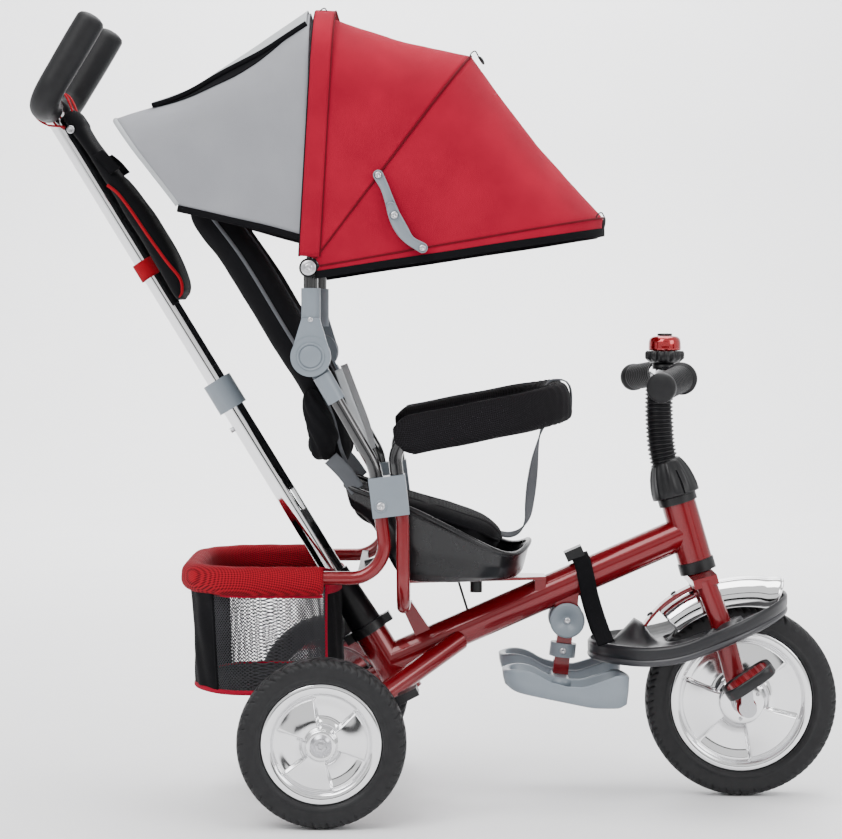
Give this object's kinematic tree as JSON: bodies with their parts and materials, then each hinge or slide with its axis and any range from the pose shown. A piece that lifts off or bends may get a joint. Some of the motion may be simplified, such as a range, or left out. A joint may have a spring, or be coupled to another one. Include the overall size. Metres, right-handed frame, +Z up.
{
  "type": "tricycle",
  "caption": "Children's push tricycle with folding sun canopy, padded guard bar, foot ring, fold-away footrest, telescopic push rod and rear basket.",
  "frame": {"origin": "on the ground, midway along the length and across the width", "axes": "+X forward to the front wheel, +Y to the rider's left, +Z up"},
  "size_m": [1.0364, 0.5026, 1.011],
  "materials": {
    "red_paint": "gloss metallic",
    "black_paint": "gloss",
    "chrome": "polished",
    "steel": "satin",
    "tyre": "matte",
    "black_plastic": "satin",
    "light_plastic": "satin",
    "charcoal_plastic": "gloss",
    "red_plastic": "gloss",
    "silver_plastic": "gloss",
    "black_foam": "matte",
    "black_fabric": "woven",
    "grey_fabric": "woven",
    "red_fabric": "woven"
  },
  "bodies": {
    "frame": {"rear_axle": "steel", "frame_tube": "red_paint", "rear_stays": "red_paint", "frame_brackets": "red_paint", "seat_hardware": "black_plastic", "frame_collars": "black_plastic", "post_clamps": "light_plastic", "seat_tubes": "red_paint", "seat_shell": "charcoal_plastic", "seat_cushion": "black_fabric", "backrest": "black_fabric", "basket_bag": "black_fabric", "basket_rim": "red_fabric", "rod_lower_tube": "chrome", "rod_clip": "light_plastic", "canopy_lower_posts": "black_paint", "hinge_lower_halves": "light_plastic", "strap_buckle": "black_plastic"},
    "steer": {"fork": "red_paint", "fender": "chrome", "foot_ring": "charcoal_plastic", "handlebar": "black_paint", "handlebar_grips": "black_foam", "stem_gaiter": "black_foam", "stem_shroud": "black_plastic", "bell_body": "red_plastic", "steering_strap": "black_fabric"},
    "bell_twist": {"bell_ring": "black_plastic"},
    "front_wheel": {"front_tyre": "tyre", "front_rim": "silver_plastic", "front_wheel_covers": "silver_plastic", "front_axle_crank": "steel"},
    "pedal_l": {"pedal_left": "red_plastic"},
    "pedal_r": {"pedal_right": "red_plastic"},
    "rear_wheel_l": {"rear_tyre_left": "tyre", "rear_rim_left": "silver_plastic", "rear_wheel_cover_left": "silver_plastic"},
    "rear_wheel_r": {"rear_tyre_right": "tyre", "rear_rim_right": "silver_plastic", "rear_wheel_cover_right": "silver_plastic"},
    "brake_l": {"brake_lever_left": "black_plastic"},
    "brake_r": {"brake_lever_right": "black_plastic"},
    "footrest": {"footrest_post": "red_paint", "footrest_trays": "light_plastic", "footrest_fittings": "light_plastic"},
    "guard": {"guard_tube": "black_paint", "guard_pad": "black_foam"},
    "push_rod": {"rod_upper_tube": "chrome", "handle_grips": "black_foam", "handle_bag": "black_fabric"},
    "button": {"rod_button": "steel"},
    "canopy": {"hinge_upper_halves": "light_plastic", "canopy_frame": "black_paint", "canopy_rear_panel": "red_fabric", "canopy_curtain": "grey_fabric"},
    "mid_bow": {"canopy_mid_bow": "black_plastic", "canopy_front_panel": "red_fabric"},
    "front_bow": {"canopy_front_bow": "black_plastic"},
    "stay_upper": {"stay_upper_links": "light_plastic"},
    "stay_lower": {"stay_lower_links": "light_plastic"}
  },
  "joints": [
    {"name": "steering", "type": "hinge", "parent": "frame", "child": "steer", "pos_m": [0.332, 0, 0.308], "axis": [-0.2823, 0, 0.9593], "range_deg": [-30, 30], "deforming": ["steering_strap"]},
    {"name": "bell_turn", "type": "hinge", "parent": "steer", "child": "bell_twist", "pos_m": [0.288, -0.034, 0.59], "axis": [0, 0, 1], "range_deg": [-20, 20], "stiffness_Nm_per_rad": 0.05},
    {"name": "front_wheel_spin", "type": "hinge", "parent": "steer", "child": "front_wheel", "pos_m": [0.392, 0, 0.125], "axis": [0, 1, 0], "continuous": true},
    {"name": "pedal_left_spin", "type": "hinge", "parent": "front_wheel", "child": "pedal_l", "pos_m": [0.39597, 0.123, 0.08218], "axis": [0, 1, 0], "continuous": true},
    {"name": "pedal_right_spin", "type": "hinge", "parent": "front_wheel", "child": "pedal_r", "pos_m": [0.38803, -0.123, 0.16782], "axis": [0, 1, 0], "continuous": true},
    {"name": "rear_wheel_left_spin", "type": "hinge", "parent": "frame", "child": "rear_wheel_l", "pos_m": [-0.148, 0.22, 0.105], "axis": [0, 1, 0], "continuous": true},
    {"name": "rear_wheel_right_spin", "type": "hinge", "parent": "frame", "child": "rear_wheel_r", "pos_m": [-0.148, -0.22, 0.105], "axis": [0, 1, 0], "continuous": true},
    {"name": "brake_left_press", "type": "hinge", "parent": "frame", "child": "brake_l", "pos_m": [-0.148, 0.184, 0.105], "axis": [0, 1, 0], "range_deg": [0, 15]},
    {"name": "brake_right_press", "type": "hinge", "parent": "frame", "child": "brake_r", "pos_m": [-0.148, -0.184, 0.105], "axis": [0, 1, 0], "range_deg": [0, 15]},
    {"name": "footrest_fold", "type": "hinge", "parent": "frame", "child": "footrest", "pos_m": [0.164, 0, 0.231], "axis": [0, 1, 0], "range_deg": [0, 45]},
    {"name": "guard_lift", "type": "slide", "parent": "frame", "child": "guard", "axis": [-0.1219, 0, 0.9925], "range_m": [0, 0.05]},
    {"name": "rod_slide", "type": "slide", "parent": "frame", "child": "push_rod", "axis": [0.5201, 0, -0.8541], "range_m": [0, 0.064]},
    {"name": "button_press", "type": "slide", "parent": "frame", "child": "button", "axis": [0.8541, 0, 0.5201], "range_m": [0, 0.0035], "stiffness_N_per_m": 300},
    {"name": "canopy_tilt", "type": "hinge", "parent": "frame", "child": "canopy", "pos_m": [-0.163, 0, 0.577], "axis": [0, 1, 0], "range_deg": [0, 20]},
    {"name": "front_fold", "type": "hinge", "parent": "mid_bow", "child": "front_bow", "pos_m": [-0.1648, 0, 0.687], "axis": [0, -1, 0], "range_deg": [0, 37], "deforming": ["canopy_front_panel"]},
    {"name": "mid_fold", "type": "hinge", "parent": "canopy", "child": "mid_bow", "pos_m": [-0.1648, 0, 0.687], "axis": [0, -1, 0], "range_deg": [0, 28.2], "deforming": ["canopy_rear_panel"]},
    {"name": "stay_upper_turn", "type": "hinge", "parent": "mid_bow", "child": "stay_upper", "pos_m": [-0.07866, 0, 0.8009], "axis": [0, -1, 0], "range_deg": [-54.14, 0]},
    {"name": "stay_lower_turn", "type": "hinge", "parent": "stay_upper", "child": "stay_lower", "pos_m": [-0.05899, 0, 0.75146], "axis": [0, -1, 0], "range_deg": [0, 144.78]}
  ],
  "couplings": [
    {"joint": "mid_fold", "follows": "front_fold", "ratio": 0.757},
    {"joint": "stay_upper_turn", "follows": "front_fold", "ratio": -1.4497},
    {"joint": "stay_lower_turn", "follows": "front_fold", "ratio": 3.8995}
  ]
}
